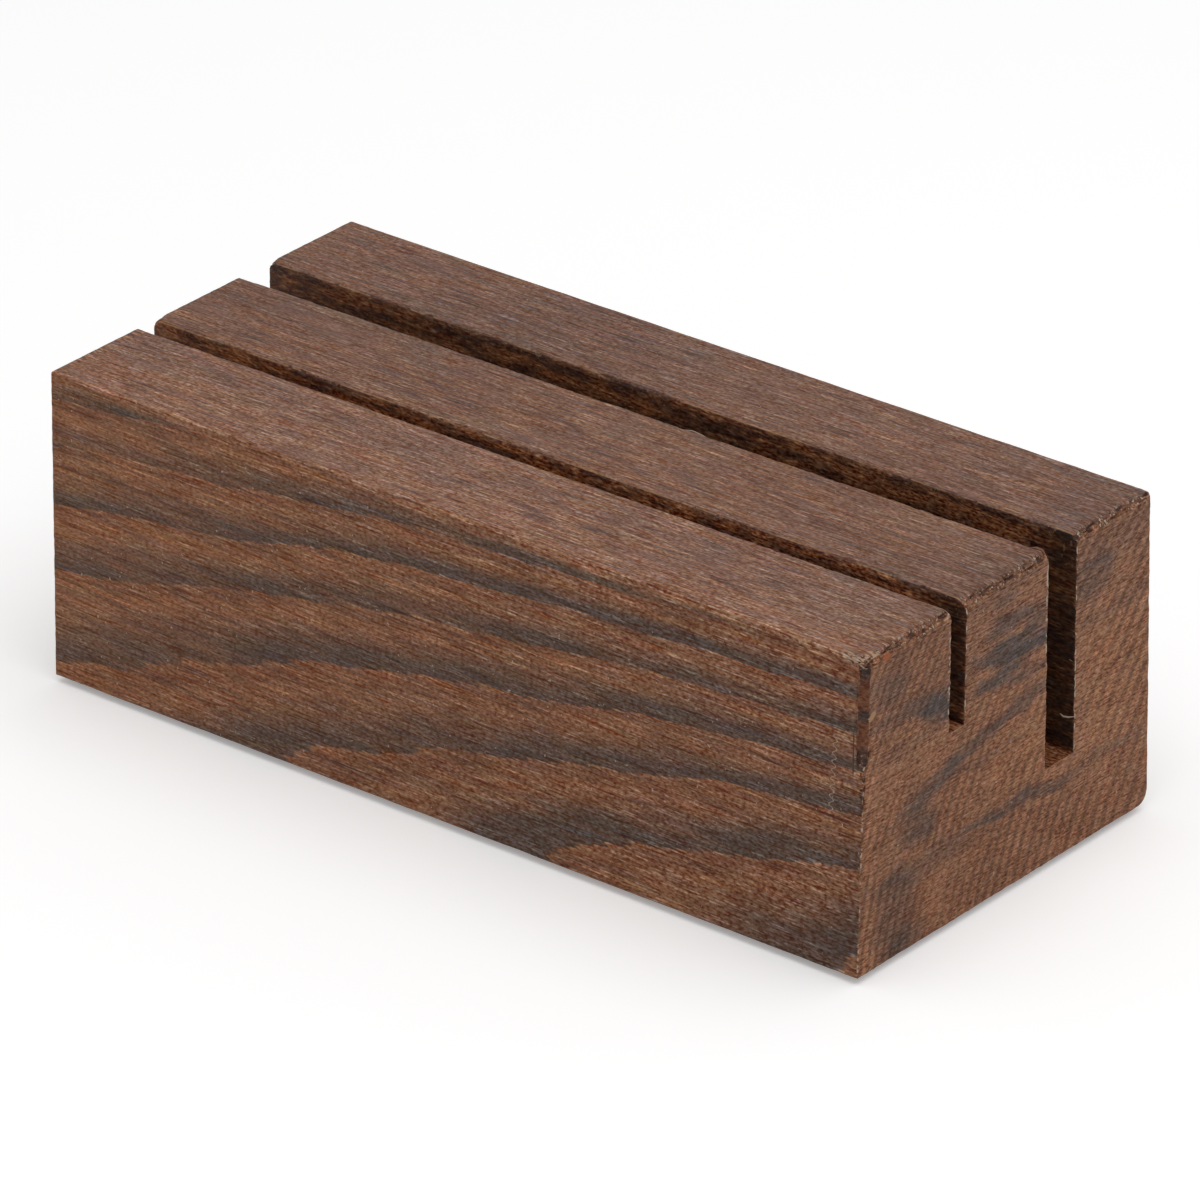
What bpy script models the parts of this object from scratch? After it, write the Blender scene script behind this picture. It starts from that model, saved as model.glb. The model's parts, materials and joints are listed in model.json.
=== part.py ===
"""Menu holder: one block of dark stained wood with two slots for cards, on four thin rubber feet.

Metres, +Z up. The origin lies on the table, under the middle of the block. +X runs along the slots,
and -Y is the front, the side of the narrow slot.
"""

import math

import bmesh
import bpy

# The block, sawn from one piece of wood
BLOCK_LENGTH = 0.150
BLOCK_HEIGHT = 0.050
FRONT_BAR_THICKNESS = 0.0198
MIDDLE_BAR_THICKNESS = 0.0202
REAR_BAR_THICKNESS = 0.0194
EASED_EDGE_RADIUS = 0.0008
REAR_FOOT_EDGE_RADIUS = 0.0025

# The narrow slot is one pass of the saw, the wide one two passes
FRONT_SLOT_WIDTH = 0.0032
FRONT_SLOT_DEPTH = 0.0193
REAR_SLOT_WIDTH = 0.0064
REAR_SLOT_DEPTH = 0.0345

# The feet, punched from rubber sheet and stuck on with a film of glue
FOOT_DIAMETER = 0.012
FOOT_THICKNESS = 0.0008
FOOT_EDGE_DISTANCE = 0.0045
GLUE_FILM = 0.0003

# Facets of the rounded shapes
EASED_EDGE_SEGMENTS = 3
FOOT_EDGE_SEGMENTS = 6
FOOT_SIDES = 32
SMOOTH_BELOW = math.radians(35)

# Places that follow from the sizes
BLOCK_WIDTH = (
    FRONT_BAR_THICKNESS + FRONT_SLOT_WIDTH + MIDDLE_BAR_THICKNESS + REAR_SLOT_WIDTH + REAR_BAR_THICKNESS
)
FRONT_Y = -BLOCK_WIDTH / 2
FRONT_SLOT_FRONT_Y = FRONT_Y + FRONT_BAR_THICKNESS
FRONT_SLOT_REAR_Y = FRONT_SLOT_FRONT_Y + FRONT_SLOT_WIDTH
REAR_SLOT_FRONT_Y = FRONT_SLOT_REAR_Y + MIDDLE_BAR_THICKNESS
REAR_SLOT_REAR_Y = REAR_SLOT_FRONT_Y + REAR_SLOT_WIDTH
REAR_Y = BLOCK_WIDTH / 2
UNDERSIDE_Z = FOOT_THICKNESS + GLUE_FILM
TOP_Z = UNDERSIDE_Z + BLOCK_HEIGHT
FRONT_SLOT_FLOOR_Z = TOP_Z - FRONT_SLOT_DEPTH
REAR_SLOT_FLOOR_Z = TOP_Z - REAR_SLOT_DEPTH

# Colours are linear
WOOD_COLOUR = (0.165, 0.095, 0.061, 1.0)
WOOD_ROUGHNESS = 0.68
RUBBER_COLOUR = (0.018, 0.017, 0.016, 1.0)
RUBBER_ROUGHNESS = 0.85


def clear_scene():
    for old in list(bpy.data.objects):
        bpy.data.objects.remove(old, do_unlink=True)


def plain_material(name, colour, roughness):
    material = bpy.data.materials.new(name)
    material.use_nodes = True
    shader = material.node_tree.nodes["Principled BSDF"]
    shader.inputs["Base Color"].default_value = colour
    shader.inputs["Roughness"].default_value = roughness
    shader.inputs["Metallic"].default_value = 0.0
    return material


def add_part(name, shape, material):
    """Turns a finished bmesh into a named object, smooth over its rounded edges."""
    bmesh.ops.recalc_face_normals(shape, faces=shape.faces)
    mesh = bpy.data.meshes.new(name)
    shape.to_mesh(mesh)
    shape.free()
    mesh.shade_smooth()
    mesh.set_sharp_from_angle(angle=SMOOTH_BELOW)
    mesh.materials.append(material)
    part = bpy.data.objects.new(name, mesh)
    bpy.context.scene.collection.objects.link(part)
    return part


def rear_foot_edge():
    """The round of the long edge at the bottom of the rear face, from the underside up."""
    centre_y = REAR_Y - REAR_FOOT_EDGE_RADIUS
    centre_z = UNDERSIDE_Z + REAR_FOOT_EDGE_RADIUS
    for step in range(FOOT_EDGE_SEGMENTS + 1):
        angle = math.radians(90) * step / FOOT_EDGE_SEGMENTS
        yield (
            centre_y + REAR_FOOT_EDGE_RADIUS * math.sin(angle),
            centre_z - REAR_FOOT_EDGE_RADIUS * math.cos(angle),
        )


def block_outline():
    """The end of the block in Y and Z: once round from the front bottom edge, along the underside."""
    return [
        (FRONT_Y, UNDERSIDE_Z),
        *rear_foot_edge(),
        (REAR_Y, TOP_Z),
        (REAR_SLOT_REAR_Y, TOP_Z),
        (REAR_SLOT_REAR_Y, REAR_SLOT_FLOOR_Z),
        (REAR_SLOT_FRONT_Y, REAR_SLOT_FLOOR_Z),
        (REAR_SLOT_FRONT_Y, TOP_Z),
        (FRONT_SLOT_REAR_Y, TOP_Z),
        (FRONT_SLOT_REAR_Y, FRONT_SLOT_FLOOR_Z),
        (FRONT_SLOT_FRONT_Y, FRONT_SLOT_FLOOR_Z),
        (FRONT_SLOT_FRONT_Y, TOP_Z),
        (FRONT_Y, TOP_Z),
    ]


def is_handled_edge(edge):
    """True for the edges that sandpaper eases: all round both ends, and the sharp long outer ones."""
    ends = [vertex.co for vertex in edge.verts]
    across_an_end = ends[0].x * ends[1].x > 0
    sharp_long_edge = edge.is_convex and edge.calc_face_angle() > math.radians(80)
    return across_an_end or sharp_long_edge


def build_block(material):
    shape = bmesh.new()
    outline = [shape.verts.new((-BLOCK_LENGTH / 2, y, z)) for y, z in block_outline()]
    left_end = shape.faces.new(outline)
    right_end = bmesh.ops.extrude_face_region(shape, geom=[left_end], use_keep_orig=True)
    moved = [item for item in right_end["geom"] if isinstance(item, bmesh.types.BMVert)]
    bmesh.ops.translate(shape, verts=moved, vec=(BLOCK_LENGTH, 0, 0))
    bmesh.ops.recalc_face_normals(shape, faces=shape.faces)
    bmesh.ops.bevel(
        shape,
        geom=[edge for edge in shape.edges if is_handled_edge(edge)],
        offset=EASED_EDGE_RADIUS,
        offset_type="OFFSET",
        affect="EDGES",
        segments=EASED_EDGE_SEGMENTS,
        profile=0.5,
        material=-1,
    )
    return add_part("slotted_block", shape, material)


def build_foot(name, x, y, material):
    shape = bmesh.new()
    bmesh.ops.create_cone(
        shape,
        cap_ends=True,
        segments=FOOT_SIDES,
        radius1=FOOT_DIAMETER / 2,
        radius2=FOOT_DIAMETER / 2,
        depth=FOOT_THICKNESS,
    )
    foot = add_part(name, shape, material)
    foot.location = (x, y, FOOT_THICKNESS / 2)
    return foot


def build_feet(material):
    foot_x = BLOCK_LENGTH / 2 - FOOT_EDGE_DISTANCE - FOOT_DIAMETER / 2
    foot_y = BLOCK_WIDTH / 2 - FOOT_EDGE_DISTANCE - FOOT_DIAMETER / 2
    for depth_name, y in (("front", -foot_y), ("rear", foot_y)):
        for side_name, x in (("left", -foot_x), ("right", foot_x)):
            build_foot(f"foot_{depth_name}_{side_name}", x, y, material)


clear_scene()
build_block(plain_material("stained_wood", WOOD_COLOUR, WOOD_ROUGHNESS))
build_feet(plain_material("black_rubber", RUBBER_COLOUR, RUBBER_ROUGHNESS))
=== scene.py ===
"""The looks of a wooden menu holder: a slotted block of dark stained wood on four thin rubber feet.

Metres, +Z up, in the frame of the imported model. +X runs along the slots, and -Y is the front.
"""

import json
import math

import bmesh
import bpy
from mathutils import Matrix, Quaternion, Vector, noise


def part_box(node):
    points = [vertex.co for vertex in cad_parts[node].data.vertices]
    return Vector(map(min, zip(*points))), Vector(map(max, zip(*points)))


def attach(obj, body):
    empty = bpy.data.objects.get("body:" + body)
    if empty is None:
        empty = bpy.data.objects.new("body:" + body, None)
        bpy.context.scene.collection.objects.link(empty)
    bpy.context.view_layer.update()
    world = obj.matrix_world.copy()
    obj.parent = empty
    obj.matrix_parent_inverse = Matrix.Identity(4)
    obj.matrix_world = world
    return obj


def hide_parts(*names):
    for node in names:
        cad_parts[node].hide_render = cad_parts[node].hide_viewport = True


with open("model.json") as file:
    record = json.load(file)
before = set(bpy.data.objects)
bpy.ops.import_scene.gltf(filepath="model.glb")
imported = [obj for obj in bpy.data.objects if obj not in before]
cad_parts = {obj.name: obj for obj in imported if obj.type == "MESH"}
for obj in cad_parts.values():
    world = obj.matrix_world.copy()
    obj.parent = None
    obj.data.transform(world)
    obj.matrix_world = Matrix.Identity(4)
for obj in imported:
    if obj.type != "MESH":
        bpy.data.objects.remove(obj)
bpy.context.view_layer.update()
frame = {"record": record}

# The block is one length of close-grained hardwood, planed on its long faces and stained dark brown.
# A circular saw cut it to length and made both slots, the narrow one in one pass and the wide one in
# two, and left its marks there. The edges were hardly sanded, so they are ragged where the saw came out.
MM = 0.001
same_place = 1e-6
block_low, block_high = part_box("slotted_block")
slot_floors = {mount["name"]: Vector(mount["pos_m"]) for mount in frame["record"]["mounts"]}
narrow_floor = slot_floors["front_slot_floor"]
narrow_width = 3.2 * MM
narrow_front = narrow_floor.y - narrow_width / 2
narrow_rear = narrow_floor.y + narrow_width / 2
wide_floor = slot_floors["rear_slot_floor"]
wide_width = 6.4 * MM
wide_front = wide_floor.y - wide_width / 2
wide_rear = wide_floor.y + wide_width / 2

block_outline = [
    (block_low.y, block_low.z),
    (block_high.y, block_low.z),
    (block_high.y, block_high.z),
    (wide_rear, block_high.z),
    (wide_rear, wide_floor.z),
    (wide_front, wide_floor.z),
    (wide_front, block_high.z),
    (narrow_rear, block_high.z),
    (narrow_rear, narrow_floor.z),
    (narrow_front, narrow_floor.z),
    (narrow_front, block_high.z),
    (block_low.y, block_high.z),
]
block_shape = bmesh.new()
left_end = block_shape.faces.new([block_shape.verts.new((block_low.x, y, z)) for y, z in block_outline])
right_end = bmesh.ops.extrude_face_region(block_shape, geom=[left_end], use_keep_orig=True)["geom"]
bmesh.ops.translate(
    block_shape,
    vec=(block_high.x - block_low.x, 0, 0),
    verts=[item for item in right_end if isinstance(item, bmesh.types.BMVert)],
)
bmesh.ops.recalc_face_normals(block_shape, faces=block_shape.faces)


def graded(start, end, finest, coarsest, fine_reach=0.0):
    """Places from a start towards an end: close together near the start, and wider apart further off."""
    way = math.copysign(1, end - start)
    reach = step = finest
    places = []
    while reach < abs(end - start) - step / 2:
        places.append(start + way * reach)
        if reach >= fine_reach:
            step = min(step * 1.4, coarsest)
        reach += step
    return places


def graded_between(stops, finest, coarsest):
    """The stops inside the ends, and places between all stops that are close together beside them."""
    places = list(stops[1:-1])
    for start, end in zip(stops, stops[1:]):
        middle = (start + end) / 2
        places += graded(start, middle, finest, coarsest)
        places += graded(end, middle, finest, coarsest)
        places.append(middle)
    return places


def slice_across(shape, axis, places, near=None):
    """Cuts a mesh at each place along an axis, so that it has points there to move: right through, or
    only the faces that are near something."""
    normal = Vector((0, 0, 0))
    normal[axis] = 1
    faces = [face for face in shape.faces if near is None or near(face.calc_center_median())]
    edges = {edge for face in faces for edge in face.edges}
    verts = {vertex for face in faces for vertex in face.verts}
    cut = [*verts, *edges, *faces]
    for place in places:
        cut = bmesh.ops.bisect_plane(
            shape, geom=cut, dist=1e-7, plane_co=normal * place, plane_no=normal
        )["geom"]


slot_walls = [narrow_front, narrow_rear, wide_front, wide_rear]
wall_stops = [block_low.y, *slot_walls, block_high.y]
base_stops = [block_low.z, wide_floor.z, narrow_floor.z]
upper_middle = (narrow_floor.z + block_high.z) / 2
edge_step = 0.13 * MM
face_step = 0.80 * MM
upper_step = 0.52 * MM
worn_step = 0.16 * MM
worn_reach = 2.3 * MM
length_step = 3.2 * MM
slice_across(block_shape, 1, graded_between(wall_stops, edge_step, face_step))
slice_across(block_shape, 2, graded_between(base_stops, edge_step, face_step))
above_narrow_floor = graded(narrow_floor.z, upper_middle, edge_step, upper_step)
slice_across(block_shape, 2, [narrow_floor.z] + above_narrow_floor)
slice_across(block_shape, 2, graded(block_high.z, upper_middle, worn_step, upper_step, worn_reach))
for end in (block_low.x, block_high.x):
    slice_across(block_shape, 0, graded(end, 0, worn_step, length_step, worn_reach))


def smooth(start, end, value):
    """0 up to start, 1 from end on, and a soft step between them."""
    share = min(max((value - start) / (end - start), 0), 1)
    return share * share * (3 - 2 * share)


def lumps(point, size, seed):
    """Soft random lumps of one size, from about -1 to 1."""
    return noise.noise(point / size + Vector((seed, seed, seed)))


def lip_reach(point):
    """How near a point is to the upper lip of a slot, from 0 to 1, and the wall of that lip."""
    wall = min(slot_walls, key=lambda place: abs(point.y - place))
    beside = 1 - smooth(0.10 * MM, 0.55 * MM, abs(point.y - wall))
    return beside * (1 - smooth(0.15 * MM, 0.75 * MM, block_high.z - point.z)), wall


def upright_reach(point):
    """How near a point is to an upright edge of a slot at the right end, from 0 to 1, and its wall."""
    wall = min(slot_walls, key=lambda place: abs(point.y - place))
    if point.z < (wide_floor.z if wall in (wide_front, wide_rear) else narrow_floor.z):
        return 0, wall
    beside = 1 - smooth(0.10 * MM, 0.50 * MM, abs(point.y - wall))
    return beside * (1 - smooth(0.15 * MM, 0.80 * MM, block_high.x - point.x)), wall


def frayed_reach(point):
    """How frayed the saw left the right end at a point beside its upright edges, from 0 to 1."""
    upright, wall = upright_reach(point)
    if wall in (narrow_rear, wide_rear):
        return 0.45 * upright
    in_reach = upright_reach(Vector((block_high.x, wall, point.z)))[0]
    beside = smooth(0.80 * MM, 0.35 * MM, abs(point.y - wall))
    return in_reach * beside * (1 - 0.5 * smooth(14 * MM, 18 * MM, block_high.z - point.z))


lip_step = 0.5 * MM
lip_steps = round((block_high.x - block_low.x) / lip_step)
lip_places = [block_low.x + step * lip_step for step in range(5, lip_steps - 4)]
slice_across(block_shape, 0, lip_places, lambda point: lip_reach(point)[0] > 0)
tooth_step = 0.24 * MM
tooth_steps = int((block_high.z - wide_floor.z) / tooth_step)
tooth_places = [wide_floor.z + step * tooth_step for step in range(1, tooth_steps)]
slice_across(block_shape, 2, tooth_places, lambda point: upright_reach(point)[0] > 0)

timber = [
    (block_low.y, narrow_front, block_high.z),
    (narrow_rear, wide_front, block_high.z),
    (wide_rear, block_high.y, block_high.z),
    (block_low.y, wide_front, narrow_floor.z),
    (block_low.y, block_high.y, wide_floor.z),
]
crisp_radius = 0.34 * MM
lip_roundness = 1.4
full_turn = 1 - math.sqrt(0.5)


def eased(point):
    """Breaks the sharp edges a little, and tells how far round an edge a point is."""
    radius = crisp_radius * (1 + 0.30 * lumps(point, 4.0 * MM, 11) + 0.45 * lumps(point, 0.8 * MM, 13))
    if block_high.z - point.z < MM and min(abs(point.y - wall) for wall in slot_walls) < MM:
        radius *= lip_roundness
    nearest = None
    for front, rear, top in timber:
        core = Vector((
            min(max(point.x, block_low.x + radius), block_high.x - radius),
            min(max(point.y, front + radius), rear - radius),
            min(max(point.z, block_low.z + radius), top - radius),
        ))
        if nearest is None or (point - core).length < (point - nearest).length:
            nearest = core
    outward = point - nearest
    sides = [abs(side) for side in outward]
    if outward.x and outward.z > 0:
        sides = [max(sides[0], sides[2]), sides[1]]
    elif outward.y > 0 and outward.z < 0:
        sides = [max(sides[1], sides[2]), sides[0]]
    if max(sides) < 1e-7:
        return point.copy(), 0.0
    shrink = max(sides) / math.hypot(*sides)
    return nearest + outward * shrink, (1 - shrink) / full_turn


def rounded(point, edge, radius):
    """Makes one long edge round, and tells how far round it a point is. The edge is where two faces
    meet, each given by its axis, its place and the way it looks."""
    reaches = [max(0, way * (point[axis] - place) + radius) for axis, place, way in edge]
    if min(reaches) <= 0:
        return point, 0.0
    shrink = max(reaches) / math.hypot(*reaches)
    moved = point.copy()
    for (axis, place, way), reach in zip(edge, reaches):
        moved[axis] += way * reach * (shrink - 1)
    return moved, (1 - shrink) / full_turn * max(reaches) / radius


right_top_edge = [(0, block_high.x, 1), (2, block_high.z, 1)]
left_top_edge = [(0, block_low.x, -1), (2, block_high.z, 1)]
rear_foot_edge = [(1, block_high.y, 1), (2, block_low.z, -1)]
rear_foot_radius = 2.5 * MM


def sanded_radius(point):
    """How round sandpaper made the upper edge of an end at a point: almost all along the right end, and
    mostly beside the slots at the left one."""
    along_edge = Vector((point.x / 9, point.y, 0))
    uneven = 1 + 0.22 * lumps(along_edge, 9 * MM, 17) + 0.10 * lumps(along_edge, 1.1 * MM, 19)
    if point.x > 0:
        at_rear = smooth(5 * MM, 1 * MM, block_high.y - point.y)
        at_lip = smooth(3 * MM, 0, point.y - narrow_rear) if point.y > narrow_rear - same_place else 0
        return 1.55 * MM * uneven * (1 - 0.45 * at_rear + 0.45 * at_lip)
    to_slot = min(abs(point.y - narrow_rear), abs(point.y - wide_rear))
    return 0.45 * MM + 0.8 * MM * smooth(2.6 * MM, 0, to_slot)


chip_depth = 0.46 * MM


def chip(point):
    """How much wood is torn out of the sanded edge at a point, from 0 to 1."""
    torn = smooth(0.03, 0.31, lumps(point, 1.05 * MM, 43))
    return torn * smooth(-0.45, 0.15, lumps(point, 3.4 * MM, 47))


def torn_corner(point):
    """How much wood is torn out round the upper front corner of the right end, from 0 to 1."""
    aside = (block_high.x - point.x) / (4.6 * MM)
    back = (point.y - block_low.y) / (2.6 * MM)
    down = (block_high.z - point.z) / (1.9 * MM)
    return smooth(1.0, 0.5, math.hypot(aside, back, down)) * smooth(0.0, 0.3, lumps(point, 0.60 * MM, 65))


def corner_tear(point):
    """How much wood is torn off the front right upright edge below the splinter, from 0 to 1."""
    aside = math.hypot(block_high.x - point.x, point.y - block_low.y)
    down = block_high.z - point.z
    tall = smooth(13.5 * MM, 15 * MM, down) * smooth(25 * MM, 22 * MM, down)
    return tall * smooth(0.80 * MM, 0.25 * MM, aside) * smooth(-0.15, 0.25, lumps(point, 0.8 * MM, 61))


saw_blade_radius = 105 * MM
saw_feed_angle = math.radians(29)
saw_mark_pitch = 1.63 * MM
saw_quickening = 0.0027 / MM
saw_mark_depth = 0.06 * MM


def saw_relief(point):
    """How deep the saw's marks are at a point of a sawn end: the saw moved back and downwards."""
    back = point.y - block_low.y
    down = block_high.z - point.z
    onward = back * math.cos(saw_feed_angle) + down * math.sin(saw_feed_angle)
    aside = down * math.cos(saw_feed_angle) - back * math.sin(saw_feed_angle) - 5 * MM
    travel = onward + math.sqrt(saw_blade_radius ** 2 - aside ** 2) - saw_blade_radius
    turns = travel * (1 - saw_quickening * travel) / saw_mark_pitch
    wave = 0.5 + 0.5 * math.sin(2 * math.pi * (turns + 0.25 * lumps(point, 8 * MM, 31)))
    return saw_mark_depth * wave * (0.7 + 0.3 * lumps(point, 6 * MM, 37))


# A long splinter has come off the front right upright edge and left a shallow bed in the front face
splinter_width = 1.45 * MM
splinter_depth = 0.42 * MM
splinter_top = block_high.z - 0.9 * MM
splinter_bottom = block_high.z - 16.3 * MM


def splinter(point):
    """How deep the bed of the splinter is at a point of the front face, from 0 to about 2."""
    aside = block_high.x - point.x
    height = Vector((0, 0, point.z))
    width = splinter_width * (1 + 0.10 * lumps(height, 2.6 * MM, 41) + 0.05 * lumps(height, 0.5 * MM, 42))
    ragged = 0.9 * MM * lumps(point, 0.7 * MM, 45)
    tall = smooth(splinter_bottom - 0.7 * MM, splinter_bottom + 0.3 * MM, point.z + ragged)
    tall *= 1 - smooth(splinter_top - 0.3 * MM, splinter_top + 0.4 * MM, point.z + 0.4 * ragged)
    slant = 1 + 0.8 * (1 - aside / width) + 0.30 * lumps(point, 0.6 * MM, 23)
    return tall * slant if aside < width else 0


# The saw wasn't set quite square: how far the corners fell short along X and Y, and how far the slots'
# walls lie off at the left and the right end
short_corners = {
    (-1, -1, -1): Vector((0.00, 0.20, 0)),
    (-1, -1, 1): Vector((0.45, 0.25, 0)),
    (-1, 1, -1): Vector((0.30, -0.30, 0)),
    (-1, 1, 1): Vector((0.55, -0.30, 0)),
    (1, -1, -1): Vector((-0.50, 0.05, 0)),
    (1, -1, 1): Vector((0.00, 0.40, 0)),
    (1, 1, -1): Vector((0.00, 0.00, 0)),
    (1, 1, 1): Vector((-0.70, -0.50, 0)),
}
wall_shifts = [
    (0, 0),
    (-0.15 * MM, 0.45 * MM),
    (0.15 * MM, 0.80 * MM),
    (-0.20 * MM, 0.55 * MM),
    (0.15 * MM, 1.00 * MM),
    (0, 0),
]
block_middle = (block_low + block_high) / 2
block_half = (block_high - block_low) / 2


def askew(point):
    """Where the saw really left a point of the squarely drawn block."""
    shares = [(point[axis] - block_middle[axis]) / block_half[axis] for axis in range(3)]
    moved = point.copy()
    for corner, short in short_corners.items():
        weight = math.prod((1 + side * share) / 2 for side, share in zip(corner, shares))
        moved += short * weight * MM
    shifts = [left + (right - left) * (1 + shares[0]) / 2 for left, right in wall_shifts]
    for start, end, shift, next_shift in zip(wall_stops, wall_stops[1:], shifts, shifts[1:]):
        if start <= point.y < end:
            moved.y += shift + (next_shift - shift) * (point.y - start) / (end - start)
    return moved


def in_slot(point):
    """True for a point on the walls or the floor of a slot."""
    for slot_floor, width in ((narrow_floor, narrow_width), (wide_floor, wide_width)):
        between_walls = abs(point.y - slot_floor.y) < width / 2 + same_place
        if between_walls and point.z > slot_floor.z - same_place:
            return True
    return False


looks = {name: block_shape.verts.layers.float.new(name) for name in (
    "wear", "fringe", "sanded", "chip", "broken", "slot", "sawn", "loose"
)}
away_from_slot = dict(zip(slot_walls, (-1, 1, -1, 1)))
lip_wave = 0.14 * MM
lip_crumble = 0.22 * MM
upright_fray = 0.16 * MM
for vertex in block_shape.verts:
    sharp = vertex.co.copy()
    at_end = abs(sharp.x) > block_high.x - same_place
    at_lip = at_end or sharp.z > block_high.z - same_place
    place, vertex[looks["wear"]] = eased(sharp)
    lip, wall = lip_reach(sharp)
    crumbled = 0
    if lip:
        spot = Vector((sharp.x, wall, 0))
        crumbled = lip * smooth(0.02, 0.45, lumps(spot, 1.3 * MM, 51))
        crumbled *= smooth(-0.3, 0.3, lumps(spot, 7 * MM, 52))
        wavy = lip * (0.5 + 0.5 * lumps(spot, 5 * MM, 55))
        place += Vector((0, away_from_slot[wall], -0.6)) * (lip_wave * wavy + lip_crumble * crumbled)
    upright, wall = upright_reach(sharp)
    if upright:
        spot = Vector((0, wall, sharp.z))
        ragged = lumps(spot, 0.55 * MM, 53) + 0.7 * lumps(spot, 1.9 * MM, 54)
        place.y += upright_fray * upright * ragged
    place, turned = rounded(place, right_top_edge if sharp.x > 0 else left_top_edge, sanded_radius(sharp))
    torn = chip(sharp) * smooth(0.15, 0.60, turned)
    place += Vector((math.copysign(0.7, -sharp.x), 0, -0.7)) * chip_depth * torn
    corner = corner_tear(sharp)
    place += Vector((-0.7, 0.7, 0)) * chip_depth * corner
    torn_off = torn_corner(sharp)
    place += Vector((-0.3, 0.6, -0.6)) * chip_depth * torn_off
    place = rounded(place, rear_foot_edge, rear_foot_radius)[0]
    bed = splinter(sharp) * (1 - smooth(0, 3.5 * MM, sharp.y - block_low.y))
    place.y += bed * splinter_depth
    if at_end:
        place.x -= math.copysign(saw_relief(sharp) * (1 - turned), sharp.x)
    vertex.co = askew(place)
    vertex[looks["sanded"]] = turned
    vertex[looks["fringe"]] = frayed_reach(sharp) if at_end and sharp.x > 0 else 0.0
    vertex[looks["chip"]] = max(torn, corner, torn_off, crumbled)
    vertex[looks["broken"]] = min(bed, 1) * (1 - smooth(0.05 * MM, 0.25 * MM, sharp.y - block_low.y))
    vertex[looks["slot"]] = (0.35 if at_lip else 1.0) if in_slot(sharp) else 0.0
    vertex[looks["sawn"]] = 1.0 if at_end else 0.0


fibre_sides = 5


def add_fibre(path, thickness, paleness):
    """A loose fibre along a path of points, in millimetres along, behind the front and below the top."""
    rings = []
    for index, (along, behind, below) in enumerate(path):
        centre = Vector((along * MM, block_low.y + behind * MM, block_high.z - below * MM))
        taper = 1 - 0.75 * abs(2 * index / (len(path) - 1) - 1) ** 2
        ring = []
        for side in range(fibre_sides):
            angle = 2 * math.pi * side / fibre_sides
            spoke = Vector((0, math.cos(angle), math.sin(angle))) * thickness / 2 * taper
            ring.append(block_shape.verts.new(centre + spoke))
            ring[-1][looks["loose"]] = paleness
        rings.append(ring)
    for ring, following in zip(rings, rings[1:]):
        for side in range(fibre_sides):
            after = (side + 1) % fibre_sides
            block_shape.faces.new((ring[side], ring[after], following[after], following[side]))
    block_shape.faces.new(rings[0][::-1])
    block_shape.faces.new(rings[-1])


# Fibres in the mouth of the wide slot and on its lip, and the straw of the torn front corner
add_fibre(
    [(71.9, 50.60, 29.0), (72.8, 50.40, 29.3), (73.8, 50.35, 29.1), (74.8, 50.45, 28.7)], 0.32 * MM, 1.0
)
add_fibre([(72.8, 50.65, 19.6), (73.8, 50.45, 20.0), (74.7, 50.55, 20.2)], 0.16 * MM, 0.45)
add_fibre([(8.6, 44.2, 0.9), (10.5, 43.9, 0.45), (12.5, 43.4, 0.3), (14.2, 42.9, 0.15)], 0.24 * MM, 0.7)
add_fibre(
    [(71.0, 43.60, 0.42), (72.0, 43.95, 0.36), (73.0, 44.05, 0.48), (73.9, 43.75, 0.95)], 0.70 * MM, 0.04
)
add_fibre([(70.4, 0.54, 0.30), (71.1, 0.45, 0.22), (71.9, 0.49, 0.32)], 0.34 * MM, 0.85)
add_fibre([(71.3, 0.50, 0.50), (72.1, 0.40, 0.42), (73.0, 0.46, 0.60)], 0.36 * MM, 0.55)
add_fibre([(72.3, 0.66, 0.24), (73.1, 0.56, 0.30), (73.9, 0.64, 0.52)], 0.38 * MM, 0.90)
add_fibre([(73.3, 1.20, 0.30), (73.9, 1.10, 0.46), (74.3, 1.25, 0.78)], 0.38 * MM, 0.60)
add_fibre([(73.4, 0.52, 0.80), (74.0, 0.46, 0.95), (74.5, 0.58, 1.25)], 0.30 * MM, 0.70)
add_fibre([(73.5, 1.90, 0.32), (74.0, 1.80, 0.55), (74.4, 2.05, 0.87)], 0.34 * MM, 0.80)
add_fibre([(73.7, 2.60, 0.42), (74.1, 2.90, 0.56), (74.4, 3.40, 0.84)], 0.36 * MM, 0.50)
add_fibre([(73.2, 3.20, 0.22), (73.9, 3.50, 0.42), (74.3, 3.90, 0.74)], 0.30 * MM, 0.40)


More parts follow.
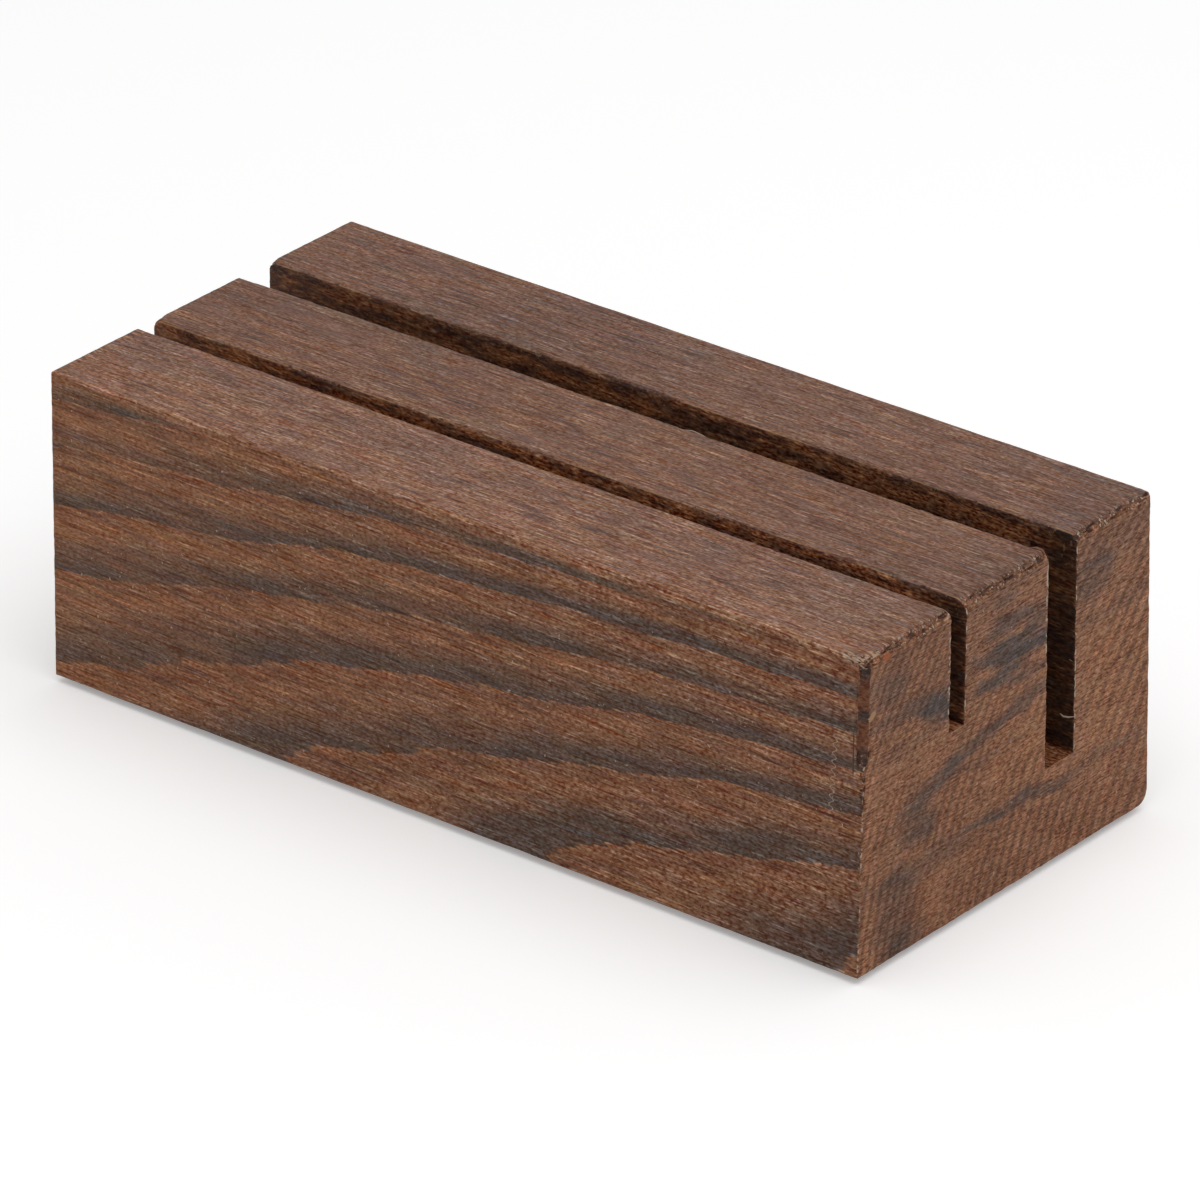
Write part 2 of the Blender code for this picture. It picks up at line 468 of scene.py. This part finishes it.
class Shade:
    """A value in a material: arithmetic on it adds Math nodes, so a pattern reads as a formula."""

    def __init__(self, tree, socket):
        self.tree = tree
        self.socket = socket

    def node(self, kind, settings, sockets, output=0):
        """Adds a node of any type: first its settings, then the values or links of its sockets."""
        added = self.tree.nodes.new(kind)
        for name, value in settings.items():
            setattr(added, name, value)
        for name, value in sockets.items():
            if isinstance(value, Shade):
                self.tree.links.new(value.socket, added.inputs[name])
            else:
                added.inputs[name].default_value = value
        return Shade(self.tree, added.outputs[output])

    def output(self, index):
        return Shade(self.tree, self.socket.node.outputs[index])

    def math(self, operation, *values):
        return self.node("ShaderNodeMath", {"operation": operation}, dict(enumerate(values)))

    def __add__(self, other):
        return self.math("ADD", self, other)

    __radd__ = __add__

    def __sub__(self, other):
        return self.math("SUBTRACT", self, other)

    def __rsub__(self, other):
        return self.math("SUBTRACT", other, self)

    def __mul__(self, other):
        return self.math("MULTIPLY", self, other)

    __rmul__ = __mul__

    def __truediv__(self, other):
        return self.math("DIVIDE", self, other)

    def __pow__(self, other):
        return self.math("POWER", self, other)

    def __abs__(self):
        return self.math("ABSOLUTE", self)

    def step(self, start, end):
        """0 up to start, 1 from end on, and a soft step between them. Falls where end is below start."""
        return self.node(
            "ShaderNodeMapRange",
            {"interpolation_type": "SMOOTHSTEP"},
            {"Value": self, "From Min": start, "From Max": end},
        )

    def noise(self, size, detail=2.0, roughness=0.5, shift=0.0):
        """Random lumps of a size along X, Y and Z, from a vector, about 0.5."""
        placed = self.node(
            "ShaderNodeMapping",
            {},
            {
                "Vector": self,
                "Location": (shift, shift, shift),
                "Scale": tuple(1 / each for each in size),
            },
        )
        return self.node(
            "ShaderNodeTexNoise",
            {},
            {"Vector": placed, "Scale": 1.0, "Detail": detail, "Roughness": roughness},
        )

    def attribute(self, name):
        """A value that the mesh keeps at its points."""
        return self.node("ShaderNodeAttribute", {"attribute_name": name}, {}, 2)

    def mix(self, first, second, share):
        """A colour between two others."""
        return self.node("ShaderNodeMix", {"data_type": "RGBA"}, {0: share, 6: first, 7: second}, 2)

    def blend(self, other, share):
        """A colour mixed with another one."""
        return self.mix(self, other, share)

    def lit(self, strength, tint=(1, 1, 1)):
        """A colour made lighter or darker, evenly or more in some of its parts, but never quite black."""
        faded = self.node(
            "ShaderNodeVectorMath",
            {"operation": "MULTIPLY_ADD"},
            {0: strength, 1: tint, 2: tuple(1 - each for each in tint)},
        )
        darkest = (0.08, 0.08, 0.08)
        faded = self.node("ShaderNodeVectorMath", {"operation": "MAXIMUM"}, {0: faded, 1: darkest})
        return self.node("ShaderNodeVectorMath", {"operation": "MULTIPLY"}, {0: self, 1: faded})

    def tinted(self, tint, amount):
        """A colour shifted in hue by another one that varies about grey."""
        shift = self.node(
            "ShaderNodeVectorMath",
            {"operation": "MULTIPLY_ADD"},
            {0: tint, 1: amount, 2: tuple(1 - each / 2 for each in amount)},
        )
        return self.node("ShaderNodeVectorMath", {"operation": "MULTIPLY"}, {0: self, 1: shift})


def new_material(name):
    """A material with its main shader, and the place on the piece that its patterns read."""
    material = bpy.data.materials.new(name)
    material.use_nodes = True
    tree = material.node_tree
    place = Shade(tree, tree.nodes.new("ShaderNodeTexCoord").outputs["Object"])
    return material, tree.nodes["Principled BSDF"], place


def feed(shader, socket, value):
    value.tree.links.new(value.socket, shader.inputs[socket])


pale_wood = (0.250, 0.106, 0.050, 1)
red_wood = (0.178, 0.069, 0.034, 1)
dark_wood = (0.094, 0.055, 0.039, 1)
painted_sheen_mauve = (0.155, 0.087, 0.072, 1)
ochre_wood = (0.36, 0.21, 0.11, 1)
grey_wood = (0.058, 0.0400, 0.0340, 1)
dusky_wood = (0.108, 0.060, 0.046, 1)
burnt_and_shaded_wood = (0.048, 0.0190, 0.0115, 1)
scorched_wood = (0.240, 0.086, 0.030, 1)
raw_wood = (0.146, 0.054, 0.0255, 1)
orange_wood = (0.34, 0.092, 0.028, 1)
bleached_wood = (0.50, 0.40, 0.31, 1)

# Dark growth on the ends: behind the front, below the top, half width, half height, strength and slope
end_blots = [
    (6.0, 6.6, 4.0, 2.4, 0.38, 0.00),
    (12.0, 11.9, 9.0, 1.3, 0.60, 0.04),
    (17.8, 14.4, 3.6, 1.4, 0.98, 0.10),
    (12.0, 17.4, 8.0, 0.9, 0.25, 0.00),
    (32.5, 3.3, 3.0, 0.7, 0.42, 0.00),
    (33.5, 1.4, 9.0, 0.8, 0.22, 0.00),
    (34.0, 7.2, 5.0, 1.2, 0.66, -0.06),
    (41.0, 8.6, 2.8, 1.5, 0.50, 0.00),
    (36.0, 11.6, 8.5, 1.6, 1.00, 0.10),
    (37.5, 13.6, 5.5, 1.1, 0.60, 0.03),
    (32.0, 15.3, 5.0, 1.0, 0.85, 0.00),
    (39.5, 17.1, 5.5, 0.9, 0.52, 0.05),
    (60.5, 4.0, 10.0, 2.6, 0.17, 0.00),
    (55.0, 7.8, 4.2, 3.0, 0.60, 0.00),
    (60.0, 14.6, 9.0, 1.0, 0.26, 0.00),
    (38.5, 21.0, 7.5, 1.1, 0.52, -0.10),
    (26.0, 23.4, 8.0, 1.1, 0.60, -0.12),
    (17.0, 26.2, 6.5, 1.4, 0.64, -0.15),
    (30.0, 26.7, 9.0, 0.6, 0.25, 0.00),
    (11.0, 28.3, 5.0, 0.9, 0.42, 0.00),
    (13.0, 31.5, 4.0, 2.1, 0.62, 0.00),
    (38.0, 37.2, 11.0, 1.0, 0.70, 0.06),
    (16.0, 37.6, 12.0, 1.9, 0.36, 0.00),
    (8.2, 42.6, 3.8, 6.0, 0.40, 0.00),
    (60.0, 37.2, 9.0, 1.0, 0.32, 0.00),
    (10.5, 48.5, 4.0, 2.6, 0.42, 0.00),
]


def stained_wood():
    """Growth bands, fibres and pores in the round, with saw marks on the ends and scorching in the slots.

    Works in millimetres: along the block from its middle, behind its front face and below its top.
    """
    material, shader, place = new_material("stained_wood")
    spot = place.node(
        "ShaderNodeMapping",
        {},
        {
            "Vector": place,
            "Location": (0, -block_low.y / MM, block_high.z / MM),
            "Scale": (1 / MM, 1 / MM, -1 / MM),
        },
    )
    along = spot.node("ShaderNodeSeparateXYZ", {}, {0: spot})
    behind = along.output(1)
    below = along.output(2)
    grain = spot.node("ShaderNodeMapping", {}, {"Vector": spot, "Rotation": (0, math.radians(1.3), 0)})
    wear = place.attribute("wear")
    sanded = place.attribute("sanded")
    sawn = place.attribute("sawn")
    half_length = block_half.x / MM
    width = 2 * block_half.y / MM
    at_right_end = along.step(half_length - 2, half_length - 1)
    front = behind.step(1.2, 0.8)
    planed_side = behind.step(1.0, 0.5) + behind.step(width - 1.1, width - 0.6)
    top = below.step(0.8, 0.3)
    front_top = top * behind.step(21, 18)
    pale = (0.65, 1.12, 1.60)

    # Fibres and pores, drawn out along the grain, and soft patches
    fibre = grain.noise((8.0, 0.50, 0.50), 2, 0.6) - 0.5
    speck = grain.noise((0.70, 0.34, 0.34), 1, 0.5, 7.3) - 0.5
    pore = grain.noise((5.0, 0.27, 0.27), 1, 0.5, 31.7).step(0.56, 0.70)
    pale_fibre = grain.noise((5.5, 0.23, 0.23), 1, 0.5, 57.1).step(0.54, 0.71)
    cloud = grain.noise((26, 7, 7), 2, 0.5, 12.1) - 0.5
    drift = grain.noise((30, 8, 8), 1, 0.5, 3.3) - 0.5
    hue = grain.noise((8, 0.9, 0.9), 3, 0.6, 77.0).output(1)

    # Growth bands: nested round a heart below and behind, each fading in from above to a crisp lower edge
    share = along / half_length
    squareness = 3.912
    flatness = 1.135
    band_width = 3.918
    heart_below = 103.41 - 22.99 * share
    heart_behind = 84.91 - 32.01 * share
    across = abs(flatness * (heart_behind - behind)) ** squareness
    up = abs(heart_below - below) ** squareness
    band = 28.757 - 8.052 * share - (across + up) ** (1 / squareness) / band_width
    rear = behind.step(width - 13, width - 2)
    band = band + (0.40 + 1.0 * rear) * drift + 0.16 * fibre
    phase = band.math("FRACT", band)
    crisp_band = phase.step(0.24, 0.92) * phase.step(0.99, 0.95)
    broad_phase = band.math("FRACT", (band - 0.6) / 2.9)
    broad_band = broad_phase.step(0.40, 0.85) * broad_phase.step(1.0, 0.85)
    ring = band.math("FLOOR", band)
    ring_strength = 1 - rear * (0.36 + 0.36 * ring.math("SINE", 2.4 * ring))
    crisp_band = crisp_band * below.step(0.3, 2.6) * (1 + 0.22 * share) * ring_strength
    dark = crisp_band * planed_side + (0.26 + 0.30 * broad_band) * (1 - planed_side)
    dark = dark * (1 + 1.5 * cloud) + 0.5 * cloud
    wood = place.mix(pale_wood, dark_wood, dark)
    wood = wood.blend(red_wood, phase.step(0.34, 0.04) * (0.2 + 0.4 * planed_side))
    # The top face is blended towards mauve grey, more towards the rear: a painted sheen
    wood = wood.blend(painted_sheen_mauve, top * (0.24 + 0.10 * behind.step(40, 52)))
    wood = wood.tinted(hue, (0.50, 0.0, 0.72))
    vigour = 1 + planed_side * (0.32 + 0.29 * share) + 0.22 * top + 0.12 * front_top
    threads = 1 + (2.6 - planed_side * (0.80 + 0.28 * share)) * fibre + (0.5 + 0.4 * top) * cloud
    fine = (1 + 2.2 * vigour * speck) * (1 - 0.42 * vigour * pore) * (1 + 0.80 * vigour * pale_fibre)
    wood = wood.lit(threads * (1 - planed_side * (0.04 + 0.05 * share)), (1.0, 1.0, 0.80)).lit(fine, pale)

    # The ends: blots of dark wood, and lines that the saw drew across them
    astray = spot.noise((9, 6, 2.2), 3, 0.6, 71.0) - 0.5
    strayed_behind = behind + 6 * astray
    strayed_below = below + 4 * astray
    blot = 0
    for blot_behind, blot_below, half_width, half_height, strength, slope in end_blots:
        aside = (strayed_behind - blot_behind) / half_width
        away = (strayed_below - slope * behind - (blot_below - slope * blot_behind)) / half_height
        blot = strength * (aside * aside + away * away).step(2.6, 0.0) + blot
    blot = blot * (0.75 + 0.45 * spot.noise((9, 8.0, 0.7), 2, 0.6, 23.0).step(0.36, 0.60))
    streak = spot.noise((4, 5.0, 0.20), 2, 0.6, 40.0) - 0.5
    grit = spot.noise((1, 0.70, 0.26), 1, 0.5, 44.0) - 0.5
    onward = behind * math.cos(saw_feed_angle) + below * math.sin(saw_feed_angle)
    aside = below * math.cos(saw_feed_angle) - behind * math.sin(saw_feed_angle) - 5
    blade = saw_blade_radius / MM
    travel = onward + (blade * blade - aside * aside) ** 0.5 - blade
    turns = travel * (1 - saw_quickening * MM * travel) / (saw_mark_pitch / MM)
    turns = turns + 0.8 * (spot.noise((8, 8, 8), 1, 0.5, 5.5) - 0.5)
    mark = turns.math("SINE", turns * (2 * math.pi)).step(-0.6, 0.95)
    plain = abs(behind - 33).step(12, 8) * below.step(19, 12)
    bite = (0.35 + 0.65 * spot.noise((12, 13, 10), 1, 0.5, 15.5).step(0.36, 0.56)) * (1 - 0.8 * plain)
    end_wood = place.mix(pale_wood, dark_wood, 0.14 + 0.6 * cloud)
    end_wood = end_wood.blend(dusky_wood, 0.16 * strayed_below.step(19, 9))
    end_wood = end_wood.blend(red_wood, 0.35 * astray.step(0.0, 0.15))
    end_wood = end_wood.blend(grey_wood, blot.math("MINIMUM", blot, 0.95))
    end_hue = spot.noise((8, 2.6, 1.0), 3, 0.6, 79.0).output(1)
    end_wood = end_wood.tinted(end_hue, (0.46, 0.0, 0.64))
    end_wood = end_wood.lit(1.0 + (2.3 + 0.8 * plain) * streak + 3.0 * grit, (0.78, 1.08, 1.40))
    front_strip = behind.step(0.9, 1.6) * behind.step(4.6, 2.4)
    golden_rear = behind.step(50, 56) * abs(below - 27).step(12, 7)
    golden_middle = abs(behind - 37).step(9, 5) * abs(below - 29).step(7, 4)
    end_wood = end_wood.lit(1 + 0.07 * (golden_rear + 1.6 * golden_middle), (1.0, 1.0, 0.4))
    end_light = 0.955 + 0.115 * behind.step(28, 56) + 0.16 * front_strip - 0.05 * below.step(34, 40)
    end_light = end_light - 0.08 * below.step(5, 1.5)
    wood = wood.blend(end_wood.lit(end_light * (1.20 - 0.50 * bite * mark), (0.9, 1.03, 1.1)), sawn)

    # A paler front bar on the top, and grey patches there, blended further towards the painted sheen's
    # mauve
    grey_patch = grain.noise((15, 5, 5), 2, 0.5, 83.0).step(0.55, 0.75)
    wood = wood.lit(1 - 0.13 * top + 0.22 * front_top + 0.12 * planed_side * below.step(1.8, 0.8))
    wood = wood.blend(painted_sheen_mauve, 0.35 * top * grey_patch)

    # Worn edges: pale fibres along the long ones, a bleached fringe on the uprights, and where sanded a
    # darker, redder band with painted light and shade on its crumbs
    at_end = abs(along).step(half_length - 1.8, half_length - 1.0)
    frayed = spot.noise((0.7, 0.7, 0.8), 1, 0.5, 91.0).step(0.50, 0.62)
    wood = wood.blend(ochre_wood, wear.step(0.1, 0.8) * (1 - at_end) * fibre.step(-0.06, 0.10) * 0.65)
    fringe = wear.step(0.1, 0.6) * at_end * (1 - top) + place.attribute("fringe").step(0.30, 0.75)
    wood = wood.blend(bleached_wood, fringe * frayed * 0.8)
    crumb = spot.noise((0.8, 0.65, 0.65), 2, 0.6, 101.0)
    sanded_band = sanded.step(0.03, 0.28)
    # Darker and redder where sanded, with crumbs painted as dark pits and pale lit tops: painted shade
    # and highlights
    wood = wood.blend(wood.lit(0.78 + 4.6 * (crumb - 0.5), (0.80, 1.05, 1.30)), sanded_band)
    wood = wood.blend(bleached_wood, sanded_band * crumb.step(0.41, 0.34) * 0.8)
    orange_chip = ((behind - 5.2) / 0.9) ** 2 + ((below - 1.2) / 0.6) ** 2 + 3 * speck
    orange_chip = orange_chip.step(1.2, 0.5) * at_right_end + 0.2 * sanded_band * crumb.step(0.70, 0.74)
    wood = wood.blend(orange_wood, 0.8 * orange_chip)
    straw = along.step(70.0, 71.2) * behind.step(1.9, 1.0) * below.step(1.4, 0.7)
    straw = straw + along.step(73.0, 73.8) * behind.step(4.6, 3.2) * below.step(2.0, 1.2)
    straw = straw * grain.noise((1.6, 0.35, 0.35), 1, 0.5, 113.0).step(0.47, 0.56) * (1 - sawn)
    wood = wood.blend(place.mix(ochre_wood, bleached_wood, 0.35), 0.9 * straw.math("MINIMUM", straw, 1.0))
    # Chipped edges and crumbled lips are painted near-black: painted shade in the torn hollows
    wood = wood.blend(burnt_and_shaded_wood, place.attribute("chip").step(0.25, 0.70) * 0.85)

    # The bed of the splinter: raw, with charred ends
    broken = place.attribute("broken").step(0.3, 0.7)
    bed_ends = below.step(4.6, 2.6) + below.step(13.2, 15.0) + abs(below - 8.8).step(1.4, 0.4)
    charred = bed_ends * (0.35 + 0.65 * crumb.step(0.40, 0.56))
    bed = place.mix(raw_wood, grey_wood, 0.85 * charred).lit(1 - 0.45 * charred)
    bed = bed.blend(bleached_wood, bed_ends * crumb.step(0.38, 0.32) * 0.45)
    wood = wood.blend(bed.lit(1 + 2.0 * fibre + 2.4 * speck - 0.2 * pore, pale), broken)
    crack = abs(along - 72.95).step(0.20, 0.06) * below.step(11, 12.5) * below.step(19, 17.5)
    wood = wood.blend(burnt_and_shaded_wood, 0.85 * crack * front)
    sliver = ((behind - 1.9) / 0.8) ** 2 + ((below - 9.9 + 0.4 * behind) / 0.55) ** 2
    sliver = (sliver + 3 * grit).step(1.3, 0.7) * sawn * at_right_end
    wood = wood.blend(ochre_wood, sliver)

    # A thin wavy scratch on the front face, and a little dust
    swing = 69.9 - 0.055 * (below - 12) + 0.36 * below.math("SINE", below * 4.65 + 2 * cloud)
    scratch = abs(along - swing).step(0.15, 0.06) * below.step(11.6, 14.0) * below.step(25.6, 25.0)
    wood = wood.blend(bleached_wood, scratch * front * (0.35 + 2.0 * abs(speck)))
    dust = spot.noise((0.5, 0.5, 0.5), 0, 0.5, 63.0).step(0.83, 0.86)
    wood = wood.blend(bleached_wood, dust * 0.6)

    # Scorched slots with paler floors and loose fibres, and painted shade, deepest low down and at the
    # right end
    slot = place.attribute("slot").step(0.2, 0.9)
    char = grain.noise((4.0, 0.9, 0.9), 3, 0.65, 21.0)
    rust = grain.noise((16, 2.5, 2.5), 2, 0.5, 26.0)
    slot_wood = place.mix(burnt_and_shaded_wood, scorched_wood, (0.6 * char + 0.4 * rust).step(0.38, 0.68))
    mouth = along.step(half_length - 11, half_length - 2)
    # Painted shade in the slots: darker with depth, at the lip and towards the right end, lighter in the
    # narrow one
    painted_slot_shade = (1 - 0.18 * below.step(3.8, 8)) * (1 - 0.57 * mouth) * (1 - 0.4 * below.step(0.8, 0.3))
    painted_slot_shade = painted_slot_shade * (1 - 0.38 * mouth * below.step(9, 4))
    painted_slot_shade = painted_slot_shade * (1 + 0.45 * behind.step(34, 32) * (1 + 0.6 * along.step(15, 45)))
    flake = grain.noise((1.2, 0.27, 0.27), 1, 0.5, 131.0) - 0.5
    ragged = (1 + 0.35 * share) * (1 - 0.35 * mouth) * (3.4 * speck + 3.4 * flake)
    ragged = ragged + 1.9 * fibre + 0.8 * flake.step(0.10, 0.22)
    slot_wood = slot_wood.lit(1 + ragged, pale).lit(1.10 * painted_slot_shade)
    slot_wood = slot_wood.blend(ochre_wood, 0.28 * crumb.step(0.60, 0.68) * below.step(7, 4))
    narrow_depth = (block_high.z - narrow_floor.z) / MM
    wide_depth = (block_high.z - wide_floor.z) / MM
    slot_bottom = below.math("COMPARE", below, narrow_depth, 0.05) * behind.step(34, 32)
    slot_bottom = slot_bottom + below.math("COMPARE", below, wide_depth, 0.05)
    floor_wood = place.mix(scorched_wood, pale_wood, char.step(0.40, 0.60))
    floor_wood = floor_wood.lit(0.74 + 4 * fibre + 5 * speck, pale)
    slot_wood = slot_wood.blend(floor_wood, 0.85 * slot_bottom)
    wood = wood.blend(slot_wood, slot)
    loose = place.attribute("loose")
    wood = wood.blend(place.mix(raw_wood, bleached_wood, loose), loose.step(0.0, 0.03))

    feed(shader, "Base Color", wood)
    feed(shader, "Roughness", 0.62 + 0.35 * fibre + 0.10 * pore)
    shader.inputs["Specular IOR Level"].default_value = 0.22
    side_height = 0.06 * fibre + 0.03 * speck - 0.03 * pore
    end_height = 0.05 * streak + 0.04 * grit - 0.012 * mark
    height = side_height * (1 - sawn) + end_height * sawn
    relief = place.node("ShaderNodeBump", {}, {"Strength": 0.5, "Distance": MM, "Height": height})
    feed(shader, "Normal", relief)
    return material


def add_piece(name, shape, material, node):
    """Turns a finished bmesh into a piece that stands for a CAD node."""
    mesh = bpy.data.meshes.new(name)
    shape.to_mesh(mesh)
    shape.free()
    mesh.shade_smooth()
    mesh.set_sharp_from_angle(angle=math.radians(40))
    mesh.materials.append(material)
    piece = bpy.data.objects.new(name, mesh)
    bpy.context.scene.collection.objects.link(piece)
    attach(piece, "root")
    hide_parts(node)
    return piece


add_piece("wooden_block", block_shape, stained_wood(), "slotted_block")

# The feet are thin discs punched from black sheet rubber, one under each corner. A film of glue holds
# each one to the underside of the block, a little smaller than the disc.
foot_rim_radius = 0.12 * MM
foot_sides = 72
glue_inset = 0.5 * MM
rubber_colour = (0.016, 0.015, 0.014, 1)
dust_colour = (0.075, 0.068, 0.060, 1)


def black_rubber():
    """Matt sheet rubber with a fine pebbled skin and a little pale dust."""
    material, shader, place = new_material("black_rubber")
    pebble = place.noise((0.35 * MM, 0.35 * MM, 0.35 * MM), 2, 0.6)
    dust = place.noise((2.5 * MM, 2.5 * MM, 2.5 * MM), 3, 0.6, 4.0).step(0.5, 0.75)
    rubber = place.mix(rubber_colour, dust_colour, 0.35 * dust)
    feed(shader, "Base Color", rubber.lit(0.7 + 0.6 * pebble))
    feed(shader, "Roughness", 0.72 + 0.2 * pebble)
    relief = place.node("ShaderNodeBump", {}, {"Strength": 0.5, "Distance": 0.05 * MM, "Height": pebble})
    feed(shader, "Normal", relief)
    return material


rubber = black_rubber()
for corner in ("front_left", "front_right", "rear_left", "rear_right"):
    foot_low, foot_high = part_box(f"foot_{corner}")
    foot_radius = (foot_high.x - foot_low.x) / 2
    foot_shape = bmesh.new()
    bmesh.ops.create_cone(
        foot_shape,
        cap_ends=True,
        segments=foot_sides,
        radius1=foot_radius,
        radius2=foot_radius,
        depth=foot_high.z - foot_low.z,
    )
    bmesh.ops.translate(foot_shape, vec=(foot_low + foot_high) / 2, verts=foot_shape.verts)
    rims = [
        edge for edge in foot_shape.edges if abs(edge.verts[0].co.z - edge.verts[1].co.z) < same_place
    ]
    bmesh.ops.bevel(
        foot_shape,
        geom=rims,
        offset=foot_rim_radius,
        affect="EDGES",
        segments=3,
        profile=0.5,
        material=-1,
    )
    top_face = max(foot_shape.faces, key=lambda face: face.calc_center_median().z)
    bmesh.ops.inset_region(foot_shape, faces=[top_face], thickness=glue_inset)
    film = bmesh.ops.extrude_face_region(foot_shape, geom=[top_face])["geom"]
    bmesh.ops.translate(
        foot_shape,
        vec=(0, 0, block_low.z - foot_high.z),
        verts=[item for item in film if isinstance(item, bmesh.types.BMVert)],
    )
    bmesh.ops.delete(foot_shape, geom=[top_face], context="FACES_ONLY")
    bmesh.ops.recalc_face_normals(foot_shape, faces=foot_shape.faces)
    add_piece(f"rubber_foot_{corner}", foot_shape, rubber, f"foot_{corner}")

# The studio is a broad white floor, a large soft lamp overhead and an even surround. The camera sees
# the floor and the surround as white, and neither gives the object more light for that.
def seen_directly(tree):
    """1 for what the camera sees, also in a mirror or through glass, and 0 for light on the object."""
    ray = Shade(tree, tree.nodes.new("ShaderNodeLightPath").outputs["Is Camera Ray"])
    return ray.math("MAXIMUM", ray, ray.math("MAXIMUM", ray.output(3), ray.output(6)))


floor_half = 2.5
floor_shape = bmesh.new()
bmesh.ops.create_grid(floor_shape, x_segments=1, y_segments=1, size=floor_half)
floor_mesh = bpy.data.meshes.new("floor")
floor_shape.to_mesh(floor_mesh)
floor_shape.free()
floor = bpy.data.objects.new("floor", floor_mesh)
bpy.context.scene.collection.objects.link(floor)
floor_material, floor_shader, _ = new_material("white_floor")
floor_shader.inputs["Base Color"].default_value = (0.93, 0.93, 0.93, 1)
floor_shader.inputs["Emission Strength"].default_value = 0.25
feed(floor_shader, "Emission Color", seen_directly(floor_material.node_tree))
floor_shader.inputs["Roughness"].default_value = 0.9
floor_shader.inputs["Specular IOR Level"].default_value = 0.0
floor_mesh.materials.append(floor_material)

world = bpy.data.worlds.new("studio")
world.use_nodes = True
bpy.context.scene.world = world
surround = world.node_tree.nodes["Background"]
surround.inputs["Color"].default_value = (1, 1, 1, 1)
surround_light = 0.45
feed(surround, "Strength", surround_light + (1 - surround_light) * seen_directly(world.node_tree))

lamp_data = bpy.data.lights.new("overhead_lamp", "AREA")
lamp_data.shape = "SQUARE"
lamp_data.size = 1.2
lamp_data.energy = 7
lamp = bpy.data.objects.new("overhead_lamp", lamp_data)
lamp_place = Vector((0.25, -0.10, 1.1))
lamp.location = lamp_place
lamp.rotation_euler = lamp_place.to_track_quat("Z", "Y").to_euler()
bpy.context.scene.collection.objects.link(lamp)

# The camera stands where the photograph was taken from: in front, well to the right and above
camera_azimuth = math.radians(38.39)
camera_elevation = math.radians(26.65)
camera_roll = math.radians(0.18)
camera_distance = 1.433
camera_lens = 295.4
aim_offset = Vector((0.76 * MM, -2.13 * MM, 0))
camera_back = Vector((
    math.sin(camera_azimuth) * math.cos(camera_elevation),
    -math.cos(camera_azimuth) * math.cos(camera_elevation),
    math.sin(camera_elevation),
))
camera_turn = camera_back.to_track_quat("Z", "Y") @ Quaternion((0, 0, 1), camera_roll)
aim = block_middle + camera_turn @ aim_offset
camera_data = bpy.data.cameras.new("camera")
camera_data.sensor_width = 36
camera_data.lens = camera_lens
camera = bpy.data.objects.new("camera", camera_data)
camera.location = aim + camera_back * camera_distance
camera.rotation_euler = camera_turn.to_euler()
bpy.context.scene.collection.objects.link(camera)
bpy.context.scene.camera = camera
bpy.context.scene.view_settings.view_transform = "Standard"
